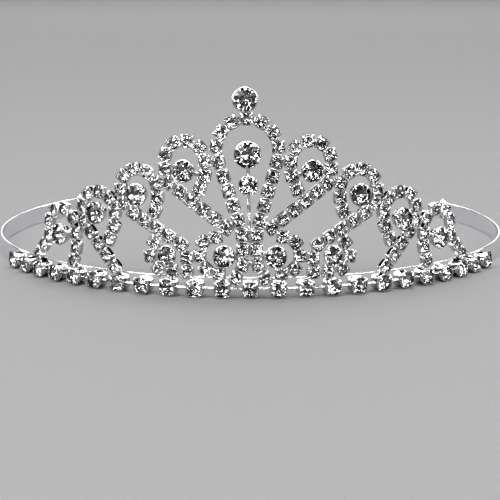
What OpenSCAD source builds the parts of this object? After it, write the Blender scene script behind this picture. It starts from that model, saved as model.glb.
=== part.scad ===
// Bridal tiara: cup chain bent into loops and soldered on a polished spring band.
// Millimetres. The origin is on the axis of the hoop, in the plane of the band's lower edge.
// +Z is up and -Y is the front. Left and right are as seen from the front, so left is -X.
// The front is drawn as if unrolled: u runs round the hoop from its middle, z runs up.

/* [Head band] */
// Inside radius of the open hoop
hoop_r = 68.5; // [66:0.5:71]
// Thickness of the strip
band_t = 0.7; // [0.5:0.1:0.9]
// Height of the strip
band_h = 5; // [4.6:0.1:5.4]
// Angle from the front to each open end
band_half_angle = 127; // [120:1:135]
// Turn of the two ends to one side, from bending by hand
band_turn = -4; // [-5:0.5:5]
// Diameter of the rounded cap on each end
tip_d = 1.9; // [1.6:0.1:2.2]
// How far the caps stand above the strip
tip_rise = 0.8; // [0.4:0.1:1.2]

/* [Base row] */
// Diameter of a base crystal
base_gem_d = 3.6; // [3.3:0.1:3.7]
// Angle between neighbouring base settings
base_step = 5.55; // [5.5:0.01:5.65]
// Base settings on each side of the middle one
base_side_count = 11; // [8:1:12]
// Height of the base crystals above the band's lower edge
base_z = 2.2; // [2.2:0.05:2.3]
// Diameter of the wire between base settings
base_wire_d = 0.5; // [0.4:0.05:0.6]

/* [Cup chain] */
// Diameter of a chain crystal
chain_gem_d = 2.7; // [2.5:0.05:2.7]
// Distance from cup to cup
chain_pitch = 3.6; // [3.55:0.01:3.65]
// Width of the little bar that links two cups
link_w = 0.9; // [0.5:0.1:1.1]

/* [Settings] */
// Wall of a cup at its rim
cup_wall = 0.25; // [0.2:0.01:0.28]
// Thickness of a cup's floor
cup_floor = 0.3; // [0.2:0.05:0.3]
// Diameter of a claw
claw_d = 0.36; // [0.3:0.02:0.36]

/* [Crest] */
// Lean of the whole crest to one side, from soldering by hand
crest_lean = 1.3; // [0:0.1:1.5]
// Half width of a scroll loop, at the middle of its chain
loop_w = 5; // [4.95:0.05:5.05]
// Height of the middle of the central loop's round top
drop_top_z = 36.2; // [36:0.1:36.4]
// Radius of the central loop's round top
drop_top_r = 7.5; // [7.4:0.1:7.5]
// Diameter of the stem wire, no more than the thickness of the strip
stem_d = 0.7; // [0.5:0.1:0.7]
// Diameter of the crystal on top of the tiara
finial_gem_d = 5.6; // [5:0.1:5.6]
// Diameter of the upper crystal on the stem
stem_upper_gem_d = 6.1; // [5.5:0.1:6.3]
// Diameter of the lower crystal on the stem
stem_lower_gem_d = 4.3; // [4:0.1:4.5]
// Diameter of the crystals inside the scroll loops and the lower scrolls
loop_gem_d = 5; // [4.6:0.1:5]
// Diameter of the crystals inside the side hooks
hook_gem_d = 4.4; // [4.3:0.1:4.4]

/* [Hidden] */
$fn = 32;
claw_fn = 16;
band_fn = 128;

silver = "silver";
crystal = "aliceblue";

SIDES = ["left", "right"];
SCROLLS = [1, 2, 3, 4];
LOOP_PIECES = ["cups", "gems", "setting", "center_gem"];
CHAIN_PIECES = ["cups", "gems"];

// The settings stand on the outer face of the band, and on the same cylinder above it.
wall_r = hoop_r + band_t;
// The unrolled drawing is measured on the cylinder through the crystals.
drawing_r = wall_r + 1.8;
chain_gem_r = chain_gem_d / 2;
chain_cup_r = chain_gem_r + cup_wall;

// Proportions of a crystal, as shares of its radius
pavilion_share = 0.75;
crown_share = 0.3;
table_share = 0.6;
culet_share = 0.1;
girdle_share = 0.06;
// Gap below a crystal's point
culet_gap = 0.05;
// Gap round a crystal's girdle, and from the seat's edge to the inner side of a claw
seat_gap = 0.01;
claw_inset = 0.03;
// How far a claw stands above the girdle
claw_rise = 0.3;

link_t = 0.25;
pad_r = 1.1;
stem_pad_r = 2;
pad_t = 0.4;
bend_steps = 12;

// Middle of the round part of each scroll loop, [u, z]
scroll_middle = [[15.4, 33.2], [27.6, 25.8], [39.5, 19.4], [52, 14]];
// Corners before and after each round part, where the chain turns in and out of the loop
scroll_foot = [
    [[5.5, 17.3, 0]],
    [[15.5, 6.1, 0], [15.5, 12.2, 4]],
    [[35, 6.1, 0]],
    [[62, 6.1, 0]]
];
scroll_heel_z = [28.4, 21.8, 16.6, 11.2];
scroll_neck_z = [30, 22.6, 17, 9.6];
scroll_tie = [[11.8, 26.6, 0], [23.4, 20.7, 0], [36.4, 12.9, 0], [48.2, 6.1, 0]];
heel_bend = 4;
neck_bend = 4;
// Middle of the large crystal of each scroll, from the middle of its loop, [u, z]
gem_offset_right = [[0.1, -2.2], [0, -1.1], [0.1, -1.6], [-0.2, -2.3]];
gem_offset_left = [[0.1, -2.2], [0.2, -1.2], [0.2, -0.2], [0.1, -1.5]];

hook_route = [[23.8, 13.1, 0], [26, 10.7, 4.2], [22.5, 5.1, 4.2], [19.3, 6.2, 0]];
hook_gem = [20.4, 10.2];
lower_route = [[8.1, 15, 0], [12.2, 15, 4], [12.2, 6.1, 4], [7.6, 6.1, 0]];
lower_gem = [6.2, 10.4];

// Half of the central loop, from its foot on the band to the top
central_half = [
    [3.6, 5, 0],
    [1.7, 8.4, 3],
    [1.7, 16.2, 9],
    [drop_top_r, drop_top_z - 1.4, drop_top_r],
    [drop_top_r, drop_top_z + drop_top_r, drop_top_r]
];

stem_low_z = 12;
central_pad_z = 8.2;
stem_lower_z = 27.7;
stem_upper_z = 35.2;
finial_u = -0.3;
finial_z = drop_top_z + drop_top_r + chain_cup_r + finial_gem_d / 2 + cup_wall + 0.05;

// Places on one side where chain is soldered to chain, [u, z]
chain_pads = [
    [4.1, 18.2], [6.8, 16.1], [8.8, 33.3], [12.9, 25.1], [13.8, 10], [21.2, 27.8],
    [23.4, 14.7], [24.7, 19.4], [33.3, 20.8], [38.2, 12.2], [46.2, 17]
];
// Places on one side where a large setting is soldered to the chain round it, [u, z]
setting_pads = [
    [3.4, 10.3], [7.1, 7.7], [12.6, 30], [18.5, 30.5], [19.8, 7.8], [22.5, 12],
    [28.6, 21.7], [30.6, 24.5], [42.6, 18.4], [49.1, 13], [55.1, 12.4]
];

// Side as a sign: left is -1 and right is 1
function sign_of(s) = s == "left" ? -1 : 1;
function flat(c) = [c.x, c.y];
function unit(v) = v / norm(v);
function turn_between(a, b) = atan2(a.x * b.y - a.y * b.x, a * b);
function spun(v, a) = [v.x * cos(a) - v.y * sin(a), v.x * sin(a) + v.y * cos(a)];
function mirrored(c, side) = [for (p = c) [side * p.x, p.y, p[2]]];
function reversed(c) = [for (i = [len(c) - 1:-1:0]) c[i]];

// Points of the round bend at corner i of a list of corners [u, z, bend radius]
function bend(c, i) =
    let (
        here = flat(c[i]),
        ahead = unit(here - flat(c[i - 1])),
        after = unit(flat(c[i + 1]) - here),
        turn = turn_between(ahead, after),
        start = here - ahead * abs(c[i][2] * tan(turn / 2)),
        hub = start + sign(turn) * c[i][2] * [-ahead.y, ahead.x]
    )
    [for (k = [0:bend_steps]) hub + spun(start - hub, turn * k / bend_steps)];

// The whole line of a chain, with its corners bent round
function line_of(c) = concat(
    [flat(c[0])],
    [for (i = [1:len(c) - 2]) each bend(c, i)],
    [flat(c[len(c) - 1])]
);

// Distance along a line to each of its points
function runs_of(p) = [
    for (i = 0, d = 0; i < len(p); d = d + norm(p[min(i + 1, len(p) - 1)] - p[i]), i = i + 1) d
];

// Cup places [u, z, heading] spread evenly over a route, from its first point to its last.
// An odd count puts one cup at the middle.
function places_on(c, odd = false) =
    let (
        p = line_of(c),
        d = runs_of(p),
        total = d[len(d) - 1],
        gaps = odd ? 2 * round(total / chain_pitch / 2) : round(total / chain_pitch),
        u_at = [for (i = [0:len(p) - 1]) [d[i], p[i].x]],
        z_at = [for (i = [0:len(p) - 1]) [d[i], p[i].y]]
    )
    [
        for (k = [0:gaps])
            let (
                s = total * k / gaps,
                du = lookup(s + 0.4, u_at) - lookup(s - 0.4, u_at),
                dz = lookup(s + 0.4, z_at) - lookup(s - 0.4, z_at)
            )
            [lookup(s, u_at), lookup(s, z_at), atan2(dz, du)]
    ];

function scroll_route(k, s) =
    let (
        m = scroll_middle[k - 1],
        outer = m.x + loop_w,
        inner = m.x - loop_w,
        top = m.y + loop_w
    )
    mirrored(
        concat(
            scroll_foot[k - 1],
            [[outer, scroll_heel_z[k - 1], heel_bend]],
            [[outer, top, loop_w], [inner, top, loop_w]],
            [[inner, scroll_neck_z[k - 1], neck_bend]],
            [scroll_tie[k - 1]]
        ),
        sign_of(s)
    );

function scroll_gem(k, s) =
    let (
        shift = s == "left" ? gem_offset_left[k - 1] : gem_offset_right[k - 1],
        p = scroll_middle[k - 1] + shift
    )
    [sign_of(s) * p.x, p.y];

function central_route() = concat(
    mirrored(central_half, -1),
    reversed(central_half)
);

function hook_side(s) = mirrored(hook_route, sign_of(s));
function lower_side(s) = mirrored(lower_route, sign_of(s));

// Every chain of the crest, as lists of cup places
function all_chains() = concat(
    [places_on(central_route(), true)],
    [for (k = SCROLLS, s = SIDES) places_on(scroll_route(k, s))],
    [for (s = SIDES) places_on(hook_side(s))],
    [for (s = SIDES) places_on(lower_side(s))]
);

// Height of a crystal's girdle above the back of its cup
function girdle_h(gem_r) = cup_floor + culet_gap + pavilion_share * gem_r;

// Moves an upright piece to place [u, z] on the wall, its back on the wall's cylinder
module on_wall(u, z, spin = 0, depth = 0) {
    leant = u - tan(crest_lean) * max(z - band_h, 0);
    rotate([0, 0, leant / drawing_r * 180 / PI])
        translate([0, depth - wall_r, z])
            rotate([90, 0, 0])
                rotate([0, 0, spin])
                    children();
}

// A round crystal with a flat table and a pointed back
module gem(gem_r) {
    g = girdle_h(gem_r);
    rotate_extrude()
        polygon([
            [0, g - pavilion_share * gem_r],
            [culet_share * gem_r, g - pavilion_share * gem_r],
            [gem_r, g],
            [gem_r, g + girdle_share * gem_r],
            [table_share * gem_r, g + (girdle_share + crown_share) * gem_r],
            [0, g + (girdle_share + crown_share) * gem_r]
        ]);
}

// A cup with a sloping seat, and claws round its rim, the first at a stated angle
module setting(gem_r, claws = 4, first_claw = 45) {
    g = girdle_h(gem_r);
    claw_at = gem_r + seat_gap + claw_inset + claw_d / 2;
    union() {
        rotate_extrude()
            polygon([
                [0, 0],
                [gem_r + cup_wall, 0],
                [gem_r + cup_wall, g],
                [gem_r + seat_gap, g],
                [culet_share * gem_r + seat_gap, g - pavilion_share * gem_r],
                [culet_share * gem_r + seat_gap, cup_floor],
                [0, cup_floor]
            ]);
        for (i = [0:claws - 1])
            rotate([0, 0, first_claw + i * 360 / claws])
                translate([claw_at, 0, cup_floor])
                    cylinder(h = g - cup_floor + claw_rise, d = claw_d, $fn = claw_fn);
    }
}

module chain_cups(places) {
    color(silver)
        for (p = places)
            on_wall(p.x, p.y, p.z)
                setting(chain_gem_r);
}

module chain_gems(places) {
    color(crystal)
        for (p = places)
            on_wall(p.x, p.y)
                gem(chain_gem_r);
}

module large_setting(p, gem_d, claws = 4, first_claw = 45) {
    color(silver)
        on_wall(p.x, p.y)
            setting(gem_d / 2, claws, first_claw);
}

module large_gem(p, gem_d) {
    color(crystal)
        on_wall(p.x, p.y)
            gem(gem_d / 2);
}

module headband() {
    color(silver)
        rotate([0, 0, -90 - band_half_angle + band_turn])
            rotate_extrude(angle = 2 * band_half_angle, $fn = band_fn)
                translate([hoop_r, 0])
                    square([band_t, band_h]);
}

// Upright caps with round ends, just past the ends of the strip and outside its bore
module headband_tips() {
    r = tip_d / 2;
    top = band_h + tip_rise;
    color(silver)
        for (end = [-1, 1])
            rotate([0, 0, end * band_half_angle + band_turn])
                translate([end * r, -hoop_r - r, 0])
                    rotate_extrude()
                        polygon(concat(
                            [[0, top], [0, 0]],
                            [for (a = [-75:15:0]) [r * cos(a), r + r * sin(a)]],
                            [for (a = [0:15:75]) [r * cos(a), top - r + r * sin(a)]]
                        ));
}

function base_u(i) = i * base_step * PI / 180 * drawing_r;

module base_row_settings() {
    for (i = [-base_side_count:base_side_count])
        large_setting([base_u(i), base_z], base_gem_d);
}

module base_row_gems() {
    for (i = [-base_side_count:base_side_count])
        large_gem([base_u(i), base_z], base_gem_d);
}

module base_links() {
    cup_d = base_gem_d + 2 * cup_wall;
    span = 2 * (wall_r + base_wire_d) * sin(base_step / 2) - cup_d + 0.3;
    color(silver)
        for (i = [-base_side_count:base_side_count - 1])
            on_wall(base_u(i + 0.5), base_z, 0, -base_wire_d / 2)
                rotate([0, 90, 0])
                    cylinder(h = span, d = base_wire_d, center = true);
}

module central_loop_cups() {
    chain_cups(places_on(central_route(), true));
}

module central_loop_gems() {
    chain_gems(places_on(central_route(), true));
}

module finial_setting() {
    large_setting([finial_u, finial_z], finial_gem_d, 6, 0);
}

module finial_gem() {
    large_gem([finial_u, finial_z], finial_gem_d);
}

// A straight wire behind the cups, from the foot of the central loop to the upper crystal
module stem_wire() {
    foot = leant_place(0, stem_low_z);
    top = leant_place(0, stem_upper_z);
    reach = top - foot;
    color(silver)
        translate(foot)
            rotate([0, atan2(norm([reach.x, reach.y]), reach.z), atan2(reach.y, reach.x)])
                cylinder(h = norm(reach), d = stem_d);
}

// Centre of the stem wire behind a place on the wall
function leant_place(u, z) =
    let (
        a = (u - tan(crest_lean) * (z - band_h)) / drawing_r * 180 / PI,
        r = wall_r - stem_d / 2
    )
    [r * sin(a), -r * cos(a), z];

module stem_settings() {
    large_setting([0, stem_lower_z], stem_lower_gem_d);
    large_setting([0, stem_upper_z], stem_upper_gem_d, 6, 30);
}

module stem_gems() {
    large_gem([0, stem_lower_z], stem_lower_gem_d);
    large_gem([0, stem_upper_z], stem_upper_gem_d);
}

module scroll_piece(k, s, piece) {
    if (piece == "cups") chain_cups(places_on(scroll_route(k, s)));
    if (piece == "gems") chain_gems(places_on(scroll_route(k, s)));
    if (piece == "setting") large_setting(scroll_gem(k, s), loop_gem_d);
    if (piece == "center_gem") large_gem(scroll_gem(k, s), loop_gem_d);
}

module chain_piece(places, piece) {
    if (piece == "cups") chain_cups(places);
    if (piece == "gems") chain_gems(places);
}

module side_hook_settings() {
    for (side = [-1, 1])
        large_setting([side * hook_gem.x, hook_gem.y], hook_gem_d);
}

module side_hook_center_gems() {
    for (side = [-1, 1])
        large_gem([side * hook_gem.x, hook_gem.y], hook_gem_d);
}

module lower_scroll_settings() {
    for (side = [-1, 1])
        large_setting([side * lower_gem.x, lower_gem.y], loop_gem_d);
}

module lower_scroll_center_gems() {
    for (side = [-1, 1])
        large_gem([side * lower_gem.x, lower_gem.y], loop_gem_d);
}

// One bar in each gap between neighbouring cups of a chain
module chain_links() {
    color(silver)
        for (places = all_chains())
            for (i = [0:len(places) - 2])
                chain_link(places[i], places[i + 1]);
}

module chain_link(a, b) {
    step = flat(b) - flat(a);
    middle = (flat(a) + flat(b)) / 2;
    length = norm(step) - 2 * chain_cup_r + 0.1;
    on_wall(middle.x, middle.y, atan2(step.y, step.x))
        translate([-length / 2, -link_w / 2, 0])
            cube([length, link_w, link_t]);
}

module solder_pad(u, z, r = pad_r) {
    on_wall(u, z, 0, pad_t)
        cylinder(h = pad_t, r = r);
}

module solder_pads() {
    color(silver) {
        for (side = [-1, 1], p = concat(chain_pads, setting_pads))
            solder_pad(side * p.x, p.y);
        solder_pad(0, stem_low_z + 1, stem_pad_r);
        solder_pad(0, central_pad_z);
        solder_pad(finial_u / 2, drop_top_z + drop_top_r + chain_cup_r);
    }
}

headband();
headband_tips();
base_row_settings();
base_row_gems();
base_links();
central_loop_cups();
central_loop_gems();
finial_setting();
finial_gem();
stem_wire();
stem_settings();
stem_gems();
for (k = SCROLLS, s = SIDES, p = LOOP_PIECES)
    scroll_piece(k, s, p);
for (s = SIDES, p = CHAIN_PIECES)
    chain_piece(places_on(hook_side(s)), p);
side_hook_settings();
side_hook_center_gems();
for (s = SIDES, p = CHAIN_PIECES)
    chain_piece(places_on(lower_side(s)), p);
lower_scroll_settings();
lower_scroll_center_gems();
chain_links();
solder_pads();
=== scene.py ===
import math
import random

import bpy
import numpy as np
from mathutils import Matrix, Vector, noise


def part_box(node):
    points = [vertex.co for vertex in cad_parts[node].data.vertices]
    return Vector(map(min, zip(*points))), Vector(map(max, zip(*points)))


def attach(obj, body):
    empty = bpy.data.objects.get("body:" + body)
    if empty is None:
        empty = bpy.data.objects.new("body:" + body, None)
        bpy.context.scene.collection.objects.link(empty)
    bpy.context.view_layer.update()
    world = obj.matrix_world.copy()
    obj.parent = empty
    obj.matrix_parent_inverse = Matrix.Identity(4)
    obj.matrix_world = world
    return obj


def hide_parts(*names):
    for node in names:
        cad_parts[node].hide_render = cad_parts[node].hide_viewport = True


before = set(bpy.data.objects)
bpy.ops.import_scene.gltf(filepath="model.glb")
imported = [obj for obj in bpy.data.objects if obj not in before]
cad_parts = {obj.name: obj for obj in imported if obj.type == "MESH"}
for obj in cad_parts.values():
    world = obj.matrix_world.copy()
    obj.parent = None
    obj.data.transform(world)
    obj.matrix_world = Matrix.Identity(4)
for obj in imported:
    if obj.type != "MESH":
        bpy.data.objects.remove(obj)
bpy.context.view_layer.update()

# Lengths in this script are millimetres until a mesh is made. The frame is in metres.
MM = 0.001
NODES = sorted(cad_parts)
rng = random.Random(11)

# Wall of a CAD cup, and how far its claws stand above the crystal's girdle
CUP_WALL = 0.25
CLAW_RISE = 0.3
# How far a detailed cup's rim stands above the girdle, and how much more it has at a claw
RIM_LOW = 0.04
RIM_RISE = 0.1
# Chain stones and base stones have a smaller radius than these
CHAIN_GEM_R = 1.5
BASE_GEM_R = 2.0
# By size of crystal: squareness of the cup's outline, narrowing of its back, width of its claws
CUP_STYLES = (
    (CHAIN_GEM_R, 6.0, 0.05, 1.0),
    (BASE_GEM_R, 4.0, 0.2, 1.25),
    (math.inf, 2.0, 0.2, 1.5),
)
# Radius of the wall on which the crest stands
WALL_R = 70.0
WELD_DECIMALS = 3
FLAT = 0.01


# ---------------------------------------------------------------- reading the frame

def solids_of(node):
    """The points of each separate solid of a CAD node, in mm."""
    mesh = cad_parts[node].data
    points = np.empty(len(mesh.vertices) * 3, np.float32)
    mesh.vertices.foreach_get("co", points)
    points = points.reshape(-1, 3).astype(float) / MM
    edges = np.empty(len(mesh.edges) * 2, np.int32)
    mesh.edges.foreach_get("vertices", edges)
    keys, welded = np.unique(np.round(points, WELD_DECIMALS), axis=0, return_inverse=True)
    welded = welded.reshape(-1)
    a, b = welded[edges.reshape(-1, 2)].T
    label = np.arange(len(keys))
    while True:
        new = label.copy()
        np.minimum.at(new, a, label[b])
        np.minimum.at(new, b, label[a])
        new = new[new]
        if (new == label).all():
            break
        label = new
    return [keys[label == k] for k in np.unique(label)]


class Place:
    """Where a solid stands on the wall of the hoop: its angle round the hoop, its height,
    and its points in its own axes (along the wall, up, outward from the hoop's axis)."""

    def __init__(self, points):
        middle = points.mean(0)
        angle = math.atan2(middle[0], -middle[1])
        for _ in range(4):
            along = points[:, 0] * math.cos(angle) + points[:, 1] * math.sin(angle)
            out = points[:, 0] * math.sin(angle) - points[:, 1] * math.cos(angle)
            angle += math.atan2((along.max() + along.min()) / 2, out.mean())
        along = points[:, 0] * math.cos(angle) + points[:, 1] * math.sin(angle)
        out = points[:, 0] * math.sin(angle) - points[:, 1] * math.cos(angle)
        self.angle = angle
        self.z = (points[:, 2].max() + points[:, 2].min()) / 2
        self.back = out.min()
        self.depth = out.max() - out.min()
        self.own = np.c_[along, points[:, 2] - self.z, out - self.back]
        self.spread = np.hypot(self.own[:, 0], self.own[:, 1])

    def matrix(self, spin=0.0, tilt=(0.0, 0.0), lift=0.0):
        """From own axes to the frame, in mm."""
        c, s = math.cos(self.angle), math.sin(self.angle)
        wall = Matrix(((c, 0, s), (s, 0, -c), (0, 1, 0))).to_4x4()
        wall.translation = Vector((self.back * s, -self.back * c, self.z))
        return (
            wall
            @ Matrix.Translation((0, 0, lift))
            @ Matrix.Rotation(tilt[0], 4, "X")
            @ Matrix.Rotation(tilt[1], 4, "Y")
            @ Matrix.Translation((0, 0, -lift))
            @ Matrix.Rotation(spin, 4, "Z")
        )

    def claw_angles(self):
        """Angles of the claws, which are what stands highest on a cup."""
        tops = self.own[self.own[:, 2] > self.depth - 2 * FLAT]
        angles = np.sort(np.arctan2(tops[:, 1], tops[:, 0]) % math.tau)
        gap = math.radians(15)
        groups = np.split(angles, np.where(np.diff(angles) > gap)[0] + 1)
        if len(groups) > 1 and groups[0][0] + math.tau - groups[-1][-1] < gap:
            groups[0] = np.r_[groups.pop() - math.tau, groups[0]]
        return [float((g.min() + g.max()) / 2) for g in groups]


# ---------------------------------------------------------------- building meshes

class Shape:
    """Points and faces gathered from many small forms, made into one piece."""

    def __init__(self):
        self.points, self.faces, self.kinds = [], [], []

    def add(self, points, faces, matrix=None, kind=0):
        first = len(self.points)
        if matrix is not None:
            points = [matrix @ Vector(p) for p in points]
        self.points += [tuple(p) for p in points]
        self.faces += [tuple(first + i for i in f) for f in faces]
        self.kinds += [kind] * len(faces)

    def piece(self, name, materials, node, smooth_angle=None):
        """Makes the piece, which stands for the CAD node."""
        mesh = bpy.data.meshes.new(name)
        mesh.from_pydata([tuple(c * MM for c in p) for p in self.points], [], self.faces)
        for material in materials:
            mesh.materials.append(material)
        mesh.polygons.foreach_set("material_index", self.kinds)
        mesh.update()
        if smooth_angle is not None:
            mesh.shade_smooth()
            mesh.set_sharp_from_angle(angle=math.radians(smooth_angle))
        obj = bpy.data.objects.new(name, mesh)
        bpy.context.scene.collection.objects.link(obj)
        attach(obj, "root")
        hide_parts(node)
        return obj


def loft(rings, close_start=True, close_end=True):
    """A closed skin through rings of points that all have the same count."""
    n = len(rings[0])
    points = [p for ring in rings for p in ring]
    faces = []
    for k in range(len(rings) - 1):
        for i in range(n):
            j = (i + 1) % n
            faces.append((k * n + i, k * n + j, (k + 1) * n + j, (k + 1) * n + i))
    for wanted, ring, first, order in (
        (close_start, rings[0], 0, -1),
        (close_end, rings[-1], (len(rings) - 1) * n, 1),
    ):
        if wanted:
            hub = len(points)
            points.append(tuple(np.mean(np.array(ring), axis=0)))
            for i in range(n):
                j = (i + 1) % n
                faces.append((first + i, first + j, hub)[::order])
    return points, faces


def sweep(path, widths, heights, side, sides=8):
    """An oval bar along a path. widths lie along the unit vector side."""
    rings = []
    side = Vector(side)
    for k, here in enumerate(path):
        ahead = (Vector(path[min(k + 1, len(path) - 1)]) - Vector(path[max(k - 1, 0)])).normalized()
        across = (side - ahead * side.dot(ahead)).normalized()
        up = ahead.cross(across)
        rings.append([
            tuple(
                Vector(here)
                + across * (widths[k] / 2 * math.cos(math.tau * i / sides))
                + up * (heights[k] / 2 * math.sin(math.tau * i / sides))
            )
            for i in range(sides)
        ])
    return loft(rings)


# ---------------------------------------------------------------- forms

def polar(r, angle, height):
    return (r * math.cos(angle), r * math.sin(angle), height)


def cup_style(gem_r):
    return next(style for limit, *style in CUP_STYLES if gem_r < limit)


def outline(phi, half, power):
    """Distance from the middle to a rounded square's edge. A power of 2 gives a circle."""
    return half / (abs(math.cos(phi)) ** power + abs(math.sin(phi)) ** power) ** (1 / power)


def cup_form(gem_r, girdle, claws, power, taper, fine=48):
    """A drawn cup with a low rim between its claws, narrower by taper at its back."""
    half = gem_r + CUP_WALL
    flat = claws[0] - math.pi / len(claws)

    def ring(share, height, from_rim=False):
        """One ring of the cup, at a height above its back or above its rim."""
        out = []
        for i in range(fine):
            phi = math.tau * i / fine
            at_claw = 0.5 - 0.5 * math.cos(len(claws) * (phi - flat))
            r = outline(phi - flat, half, power) * share
            rim = girdle + RIM_LOW + RIM_RISE * at_claw ** 2
            out.append(polar(r, phi, rim + height if from_rim else height))
        return out

    def hole(r, height):
        return [polar(r, math.tau * i / fine, height) for i in range(fine)]

    rings = [
        ring(0.78 - taper, 0.0), ring(0.95 - taper, 0.03), ring(1 - taper, 0.12),
        ring(1 - 0.7 * taper, 0.35 * girdle), ring(1 - 0.3 * taper, 0.65 * girdle),
        ring(1.0, 0.8 * girdle), ring(1.015, -0.16, True), ring(1.01, -0.07, True),
        ring(0.98, -0.01, True), ring(0.94, 0.0, True),
        hole(gem_r + 0.04, girdle + 0.02), hole(gem_r + 0.02, girdle - 0.03),
        hole(0.12 * gem_r, girdle - 0.75 * gem_r - 0.01),
    ]
    return loft(rings)


def claw_form(gem_r, girdle, angle, scale, power, taper):
    """A flat claw up the outside of a cup, bent over the crystal's crown."""
    rim_r = outline(math.pi / 4, gem_r + CUP_WALL, power)

    def crown(r):
        return girdle + gem_r * (0.06 + 0.75 * (1 - r / gem_r))

    tip_r = gem_r * (0.74 if gem_r < BASE_GEM_R else 0.84)
    # Distance from the middle, height, width and thickness along the claw
    stations = (
        (rim_r * (1 - 0.7 * taper) - 0.08, 0.35 * girdle, 0.42, 0.16),
        (rim_r * (1 - 0.2 * taper) - 0.05, 0.72 * girdle, 0.46, 0.18),
        (rim_r - 0.05, girdle - 0.02, 0.44, 0.18),
        (rim_r - 0.1, girdle + 0.15, 0.42, 0.18),
        ((rim_r + gem_r) / 2 - 0.03, crown(gem_r) + 0.2, 0.4, 0.17),
        ((gem_r + tip_r) / 2, crown((gem_r + tip_r) / 2) + 0.11, 0.36, 0.16),
        (tip_r + 0.06, crown(tip_r + 0.06) + 0.07, 0.28, 0.13),
        (tip_r, crown(tip_r) + 0.05, 0.12, 0.07),
    )
    path = [polar(r, angle, height) for r, height, _, _ in stations]
    widths = [width * scale for _, _, width, _ in stations]
    thicknesses = [thick * min(scale, 1.3) for _, _, _, thick in stations]
    return sweep(path, widths, thicknesses, (-math.sin(angle), math.cos(angle), 0))


def crystal_form(gem_r, girdle, table_h, culet_h, folds, uneven):
    """A brilliant cut: table, stars, kites and girdle facets above, mains and halves below.
    uneven moves the corners of the back facets up or down, as shares of its depth."""
    top = girdle + 0.06 * gem_r
    table_r = 0.52 * gem_r
    star_r = 0.77 * gem_r
    half_r = 0.4 * gem_r
    step = math.tau / folds
    cos_half = math.cos(step / 2)
    star_h = top + (gem_r - star_r * cos_half) * (table_h - top) / (gem_r - table_r)
    half_h = culet_h + half_r * cos_half * (girdle - culet_h) / gem_r
    double = 2 * folds
    points, crown, back = [], [], []

    def ring(r, height, count, offset=0.0):
        first = len(points)
        for k in range(count):
            points.append(polar(r, math.tau * (k + offset) / count, height))
        return range(first, first + count)

    table = ring(table_r, table_h, folds)
    star = ring(star_r, star_h, folds, 0.5)
    upper = ring(gem_r, top, double)
    lower = ring(gem_r, girdle, double)
    half = ring(half_r, half_h, folds, 0.5)
    for k, share in zip(half, uneven):
        points[k] = (points[k][0], points[k][1], half_h + share * (girdle - culet_h))
    culet = len(points)
    points.append((0, 0, culet_h))
    crown.append(tuple(table))
    for k in range(folds):
        n = (k + 1) % folds
        p = (k - 1) % folds
        after = (2 * k + 2) % double
        crown.append((table[k], star[k], table[n]))
        crown.append((table[k], star[p], upper[2 * k], star[k]))
        crown.append((star[k], upper[2 * k], upper[2 * k + 1]))
        crown.append((star[k], upper[2 * k + 1], upper[after]))
        back.append((culet, half[k], lower[2 * k], half[p]))
        back.append((half[k], lower[2 * k + 1], lower[2 * k]))
        back.append((half[k], lower[after], lower[2 * k + 1]))
    for k in range(double):
        n = (k + 1) % double
        crown.append((upper[k], lower[k], lower[n], upper[n]))
    return points, crown, back


# ---------------------------------------------------------------- materials

def new_material(name):
    material = bpy.data.materials.new(name)
    material.use_nodes = True
    tree = material.node_tree
    return material, tree, tree.nodes["Principled BSDF"]


def node_of(tree, kind, **values):
    made = tree.nodes.new(kind)
    for key, value in values.items():
        if key in made.inputs:
            made.inputs[key].default_value = value
        else:
            setattr(made, key, value)
    return made


def ramp_of(tree, source, low, high):
    """A colour ramp from low to high colours, fed by a 0-1 value."""
    ramp = tree.nodes.new("ShaderNodeValToRGB")
    ramp.color_ramp.elements[0].position = 0.3
    ramp.color_ramp.elements[1].position = 0.7
    ramp.color_ramp.elements[0].color = (*low, 1)
    ramp.color_ramp.elements[1].color = (*high, 1)
    tree.links.new(source, ramp.inputs[0])
    return ramp.outputs["Color"]


def metal(name, low, high, rough_low, rough_high, grain, bump, stretch=(1, 1, 1)):
    """Plated metal: colour and roughness drift a little, with a fine relief."""
    material, tree, shader = new_material(name)
    shader.inputs["Metallic"].default_value = 1.0
    coords = tree.nodes.new("ShaderNodeTexCoord")
    scaled = node_of(tree, "ShaderNodeMapping")
    scaled.inputs["Scale"].default_value = stretch
    tree.links.new(coords.outputs["Object"], scaled.inputs["Vector"])
    cloud = node_of(tree, "ShaderNodeTexNoise", Scale=grain / 6, Detail=3.0)
    fine = node_of(tree, "ShaderNodeTexNoise", Scale=grain, Detail=4.0)
    for texture in (cloud, fine):
        tree.links.new(scaled.outputs["Vector"], texture.inputs["Vector"])
    tree.links.new(ramp_of(tree, cloud.outputs["Fac"], low, high), shader.inputs["Base Color"])
    rough = node_of(tree, "ShaderNodeMapRange")
    rough.inputs["To Min"].default_value = rough_low
    rough.inputs["To Max"].default_value = rough_high
    tree.links.new(fine.outputs["Fac"], rough.inputs["Value"])
    tree.links.new(rough.outputs["Result"], shader.inputs["Roughness"])
    relief = node_of(tree, "ShaderNodeBump", Strength=bump, Distance=0.00002)
    tree.links.new(fine.outputs["Fac"], relief.inputs["Height"])
    tree.links.new(relief.outputs["Normal"], shader.inputs["Normal"])
    return material


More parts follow.
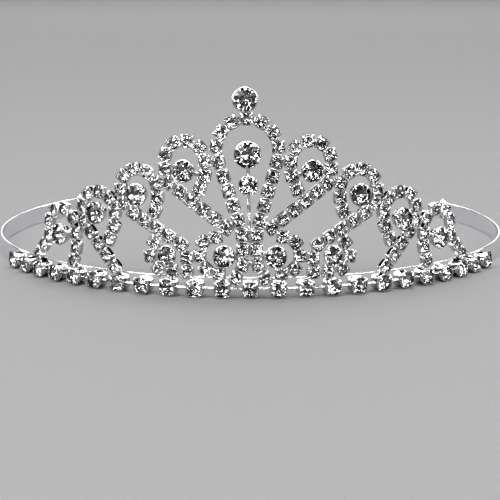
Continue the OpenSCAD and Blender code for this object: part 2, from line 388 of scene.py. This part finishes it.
def crystal_glass():
    """Clear cut glass, faintly smoky in places."""
    material, tree, shader = new_material("crystal_glass")
    shader.inputs["Transmission Weight"].default_value = 1.0
    shader.inputs["IOR"].default_value = 1.62
    shader.inputs["Roughness"].default_value = 0.0
    coords = tree.nodes.new("ShaderNodeTexCoord")
    cloud = node_of(tree, "ShaderNodeTexNoise", Scale=420.0, Detail=1.0)
    tree.links.new(coords.outputs["Object"], cloud.inputs["Vector"])
    tree.links.new(
        ramp_of(tree, cloud.outputs["Fac"], (0.95, 0.955, 0.96), (1.0, 1.0, 1.0)),
        shader.inputs["Base Color"],
    )
    return material


# Each metal: name, low and high colours, low and high roughness, grain scale, relief
plated = metal("plated_metal", (0.5, 0.5, 0.505), (0.76, 0.76, 0.755), 0.05, 0.16, 2600.0, 0.2)
polished = metal(
    "polished_band", (0.84, 0.85, 0.86), (0.9, 0.9, 0.91), 0.03, 0.1, 1500.0, 0.06, stretch=(1, 1, 14)
)
solder = metal("solder", (0.42, 0.425, 0.43), (0.6, 0.6, 0.61), 0.22, 0.42, 1600.0, 0.8)
foil = metal("crystal_foil", (0.12, 0.12, 0.12), (0.9, 0.9, 0.895), 0.0, 0.015, 5400.0, 0.0)
glass = crystal_glass()


# ---------------------------------------------------------------- pieces

# Where the cups and settings stand, gathered as they are built
SETTING_PLACES = []


def wall_gap(a, b):
    """Distance between two places, measured on the wall."""
    return math.hypot((a.angle - b.angle) * WALL_R, a.z - b.z)


def build_settings(node):
    """Drawn cups, each with its claws at the angles that the CAD claws have."""
    shape = Shape()
    for points in solids_of(node):
        place = Place(points)
        SETTING_PLACES.append(place)
        base = place.own[place.own[:, 2] < FLAT]
        gem_r = float(np.hypot(base[:, 0], base[:, 1]).max()) - CUP_WALL
        girdle = place.depth - CLAW_RISE
        claws = place.claw_angles()
        matrix = place.matrix()
        power, taper, claw_width = cup_style(gem_r)
        shape.add(*cup_form(gem_r, girdle, claws, power, taper), matrix)
        for angle in claws:
            wander = angle + rng.uniform(-0.05, 0.05)
            scale = rng.uniform(0.92, 1.08) * claw_width
            shape.add(*claw_form(gem_r, girdle, wander, scale, power, taper), matrix)
    return shape.piece(node + "_detail", [plated], node, 35)


def build_crystals(node):
    """Cut crystals, each turned and tilted a little by hand work. Their backs are foiled."""
    shape = Shape()
    for points in solids_of(node):
        place = Place(points)
        gem_r = float(place.spread.max())
        rim = place.own[place.spread > gem_r - FLAT / 2][:, 2]
        folds = 8 if gem_r < BASE_GEM_R else 12
        uneven = [rng.uniform(-0.11, 0.07) for _ in range(folds)]
        form, crown, back = crystal_form(gem_r, float(rim.min()), place.depth, 0.0, folds, uneven)
        tilt = (rng.uniform(-0.03, 0.03), rng.uniform(-0.03, 0.03))
        matrix = place.matrix(rng.uniform(0, math.tau), tilt, float(rim.min()))
        shape.add(form, crown + back, matrix)
        shape.kinds[-len(back):] = [1] * len(back)
    return shape.piece(node + "_cut", [glass, foil], node)


def build_links(node):
    """Little pressed bars, a little narrower at the middle, that run in under the cups."""
    waist, flare, thick, under = 0.88, 0.25, 0.3, 0.3
    shape = Shape()
    for points in solids_of(node):
        place = Place(points)
        flat = place.own[:, :2]
        direction = np.linalg.svd(flat - flat.mean(0))[2][0]
        length = np.abs(flat @ direction).max()
        across = (-direction[1], direction[0], 0)
        path, widths, heights = [], [], []
        for t in (-1.0, -0.64, -0.24, 0.24, 0.64, 1.0):
            reach = (length + under) * t
            path.append((direction[0] * reach, direction[1] * reach, 0.16))
            widths.append(waist + flare * t * t)
            heights.append(thick)
        shape.add(*sweep(path, widths, heights, across), place.matrix())
    return shape.piece(node + "_detail", [plated], node, 50)


def build_base_links(node):
    """Round wires between the base settings, thicker where they meet a setting."""
    shape = Shape()
    for points in solids_of(node):
        place = Place(points)
        half = float(np.abs(place.own[:, 0]).max())
        path, size = [], []
        for t in (-1, -0.75, -0.35, 0.35, 0.75, 1):
            path.append((half * t, 0, place.depth / 2))
            size.append(place.depth * (0.9 + 0.5 * t * t))
        shape.add(*sweep(path, size, size, (0, 1, 0), 10), place.matrix())
    return shape.piece(node + "_detail", [plated], node, 50)


def build_solder(node):
    """Uneven dabs, each drawn out along the line between the two cups it joins."""
    shape = Shape()
    count = 28
    small_r, squeeze, uneven = 1.5, 1.9, 0.22
    for n, points in enumerate(solids_of(node)):
        place = Place(points)
        r = float(place.spread.max())
        near = sorted(SETTING_PLACES, key=lambda q: wall_gap(q, place))[:2]
        along = math.atan2(near[1].z - near[0].z, (near[1].angle - near[0].angle) * WALL_R)
        rings = []
        for share, height in ((0.55, 0.98), (0.86, 0.8), (1.0, 0.45), (0.97, 0.12), (0.9, 0.0)):
            ring = []
            for i in range(count):
                a = math.tau * i / count
                wave = noise.noise(Vector((math.cos(a) * 1.6, math.sin(a) * 1.6, n * 3.7)))
                narrow = 1
                if r <= small_r:
                    narrow = 1 / math.hypot(math.cos(a - along), squeeze * math.sin(a - along))
                reach = r * share * narrow * (1 + uneven * wave)
                ring.append(polar(reach, a, place.depth * (1 - height)))
            rings.append(ring)
        shape.add(*loft(rings), place.matrix())
    return shape.piece(node + "_detail", [solder], node, 60)


def build_stem(node):
    """A slightly wavy wire, cut off at each end."""
    low, high = (Vector(c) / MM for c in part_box(node))
    points = np.concatenate(solids_of(node))
    foot = points[points[:, 2] < low.z + 1].mean(0)
    top = points[points[:, 2] > high.z - 1].mean(0)
    thick = float(high.y - low.y)
    steps = 26
    across, clear, wave = 0.68, 0.02, 0.04
    path, size = [], []
    for k in range(steps + 1):
        t = k / steps
        here = foot + (top - foot) * t
        here[2] = low.z + clear + (high.z - low.z - 2 * clear) * t
        sway = wave * noise.noise(Vector((t * 5, 2.0, 0.0)))
        path.append((here[0] + sway, here[1], here[2]))
        size.append(across * (0.5 if k in (0, steps) else 1.0) * min(1.0, thick / 0.6))
    shape = Shape()
    shape.add(*sweep(path, [1.25 * s for s in size], size, (1, 0, 0), 14))
    return shape.piece(node + "_detail", [plated], node, 60)


def build_band(node):
    """The spring strip, with rounded edges and rounded ends."""
    points = np.concatenate(solids_of(node))
    radius = np.hypot(points[:, 0], points[:, 1])
    inner, outer = radius.min(), radius.max()
    height = points[:, 2].max()
    angles = np.arctan2(points[:, 0], -points[:, 1])
    first, last = float(angles.min()), float(angles.max())
    middle_r = (inner + outer) / 2
    thick = outer - inner
    round_r = 0.16
    steps = 300
    end_run = 0.6
    rings = []
    for k in range(steps + 1):
        t = k / steps
        along = first + (last - first) * t
        from_end = min(t, 1 - t) * (last - first) * middle_r
        share = 1.0
        if from_end < end_run:
            share = 0.9 + 0.1 * math.sqrt(max(0.0, 1 - (1 - from_end / end_run) ** 2))
        half = height / 2 * share
        ring = []
        for start, side_r, side_z in ((-90, 1, -1), (0, 1, 1), (90, -1, 1), (180, -1, -1)):
            for step in range(5):
                a = math.radians(start + 22.5 * step)
                r = middle_r + side_r * (thick / 2 - round_r) + round_r * math.cos(a)
                z = height / 2 + side_z * (half - round_r) + round_r * math.sin(a)
                ring.append((r * math.sin(along), -r * math.cos(along), z))
        rings.append(ring[::-1])
    shape = Shape()
    shape.add(*loft(rings))
    return shape.piece(node + "_strip", [polished], node, 40)


def build_tips(node):
    """An upright cap over each end of the strip, with round ends and a shallow waist."""
    shape = Shape()
    count = 32
    stretch, waist = 0.15, 0.06
    end_angles = [math.radians(a) for a in range(12, 91, 13)]
    for points in solids_of(node):
        middle = (points.max(0) + points.min(0)) / 2
        top = float(points[:, 2].max())
        r = float(np.hypot(points[:, 0] - middle[0], points[:, 1] - middle[1]).max())
        angle = math.atan2(middle[0], -middle[1])
        away = Vector((math.cos(angle), math.sin(angle), 0)) * (1 if angle > 0 else -1)
        across = Vector((-away.y, away.x, 0))
        hub = Vector((middle[0], middle[1], 0)) - away * stretch
        profile = [(r - r * math.cos(a), math.sin(a)) for a in end_angles]
        profile += [
            (r + (top - 2 * r) * t / 6, 1 - waist * math.sin(math.pi * t / 6))
            for t in range(1, 6)
        ]
        profile += [(top - z, share) for z, share in profile[len(end_angles) - 1::-1]]
        rings = []
        for z, share in profile:
            rings.append([
                tuple(
                    hub
                    + away * ((r + stretch) * share * math.cos(math.tau * i / count))
                    + across * (r * share * math.sin(math.tau * i / count))
                    + Vector((0, 0, z))
                )
                for i in range(count)
            ])
        shape.add(*loft(rings))
    return shape.piece(node + "_detail", [plated], node, 50)


BUILDERS = {
    "headband": build_band,
    "headband_tips": build_tips,
    "stem_wire": build_stem,
    "chain_links": build_links,
    "base_links": build_base_links,
    "solder_pads": build_solder,
}
pieces = []
# Solder comes last, because it is drawn out between the cups that are already there
for cad_node in sorted(NODES, key=lambda name: name == "solder_pads"):
    usual = build_crystals if "gem" in cad_node else build_settings
    pieces.append(BUILDERS.get(cad_node, usual)(cad_node))


# ---------------------------------------------------------------- floor, light and camera

def add_floor():
    size = 30.0
    mesh = bpy.data.meshes.new("floor")
    corners = [(size * x, size * y, 0) for x, y in ((-1, -1), (1, -1), (1, 1), (-1, 1))]
    mesh.from_pydata(corners, [], [(0, 1, 2, 3)])
    material, tree, shader = new_material("floor_matt")
    shader.inputs["Roughness"].default_value = 0.85
    cloud = node_of(tree, "ShaderNodeTexNoise", Scale=3.0, Detail=2.0)
    tree.links.new(
        ramp_of(tree, cloud.outputs["Fac"], (0.33, 0.33, 0.335), (0.365, 0.365, 0.365)),
        shader.inputs["Base Color"],
    )
    mesh.materials.append(material)
    floor = bpy.data.objects.new("floor", mesh)
    bpy.context.scene.collection.objects.link(floor)
    return floor


# What the softboxes and sparks are aimed at
AIM = (0, -0.03, 0.02)
# Name, place, width, height and radiance of each softbox
SOFTBOXES = (
    ("key", (-0.55, -0.6, 0.6), 0.66, 0.5, 2.3),
    ("fill", (0.64, -0.5, 0.46), 0.42, 0.42, 1.9),
    ("top", (0.08, 0.12, 0.85), 0.6, 0.32, 2.3),
    ("front", (0.1, -0.95, 0.34), 0.56, 0.12, 2.2),
    ("left", (-0.85, -0.05, 0.26), 0.2, 0.36, 2.2),
    ("right", (0.85, 0.02, 0.26), 0.2, 0.36, 2.2),
    ("back", (0.0, 1.1, 0.3), 1.5, 0.24, 1.0),
)
# An even light from overhead, for the floor alone
ROOM_LIGHT = ("room", (0.0, 0.0, 5.0), (0, 0, 0), 30.0, 30.0, 0.68)
# Small bright lights for the sparkle, for the pieces alone: angle round from the front, height angle
SPARKS = (
    (-78, 14), (-60, 30), (-44, 12), (-30, 48), (-18, 26), (-6, 62), (8, 20), (16, 40),
    (28, 66), (38, 16), (50, 38), (64, 22), (82, 12), (-100, 40), (104, 36),
    (-88, 62), (-52, 54), (-34, 28), (-22, 9), (-4, 38), (24, 24), (44, 60), (70, 46),
    (122, 16), (-124, 18), (152, 46), (-152, 44), (180, 28),
)
SPARK_DISTANCE = 1.0
SPARK_SIZE = 0.15
SPARK_RADIANCE = 13.0


def add_softbox(name, where, aim, width, height, radiance):
    light = bpy.data.lights.new(name, "AREA")
    light.shape = "RECTANGLE"
    light.size, light.size_y = width, height
    light.energy = radiance * math.pi * width * height
    obj = bpy.data.objects.new(name, light)
    obj.location = where
    obj.rotation_euler = (Vector(aim) - Vector(where)).to_track_quat("-Z", "Y").to_euler()
    obj.visible_camera = False
    bpy.context.scene.collection.objects.link(obj)
    return obj


def lit_group(name, objects):
    """A group of objects that a light can be kept to."""
    group = bpy.data.collections.new(name)
    for obj in objects:
        group.objects.link(obj)
    return group


def add_camera():
    target = Vector((0, 0, 0.005))
    distance = 0.5
    elevation = 0.185
    camera = bpy.data.cameras.new("camera")
    camera.sensor_width = 36.0
    camera.lens = 3.58 * camera.sensor_width
    camera.shift_x = -0.0008
    camera.shift_y = -0.0504
    camera.clip_start = 0.01
    obj = bpy.data.objects.new("camera", camera)
    obj.location = target + distance * Vector((0, -math.cos(elevation), math.sin(elevation)))
    obj.rotation_euler = (math.pi / 2 - elevation, 0, 0)
    bpy.context.scene.collection.objects.link(obj)
    bpy.context.scene.camera = obj


def add_world(strength):
    world = bpy.data.worlds.new("world")
    world.use_nodes = True
    background = world.node_tree.nodes["Background"]
    background.inputs["Color"].default_value = (0.9, 0.92, 0.95, 1)
    background.inputs["Strength"].default_value = strength
    bpy.context.scene.world = world


bpy.context.scene.view_settings.view_transform = "Standard"
bpy.context.scene.view_settings.look = "High Contrast"
on_floor = lit_group("lit_floor", [add_floor()])
on_pieces = lit_group("lit_pieces", pieces)
for name, where, width, height, radiance in SOFTBOXES:
    add_softbox(name, where, AIM, width, height, radiance)
add_softbox(*ROOM_LIGHT).light_linking.receiver_collection = on_floor
for n, (round_angle, height_angle) in enumerate(SPARKS):
    turn, rise = math.radians(round_angle), math.radians(height_angle)
    away = Vector((math.sin(turn) * math.cos(rise), -math.cos(turn) * math.cos(rise), math.sin(rise)))
    spark = add_softbox(
        "spark_%d" % n, away * SPARK_DISTANCE, AIM, SPARK_SIZE, SPARK_SIZE, SPARK_RADIANCE
    )
    spark.light_linking.receiver_collection = on_pieces
add_world(0.012)
add_camera()
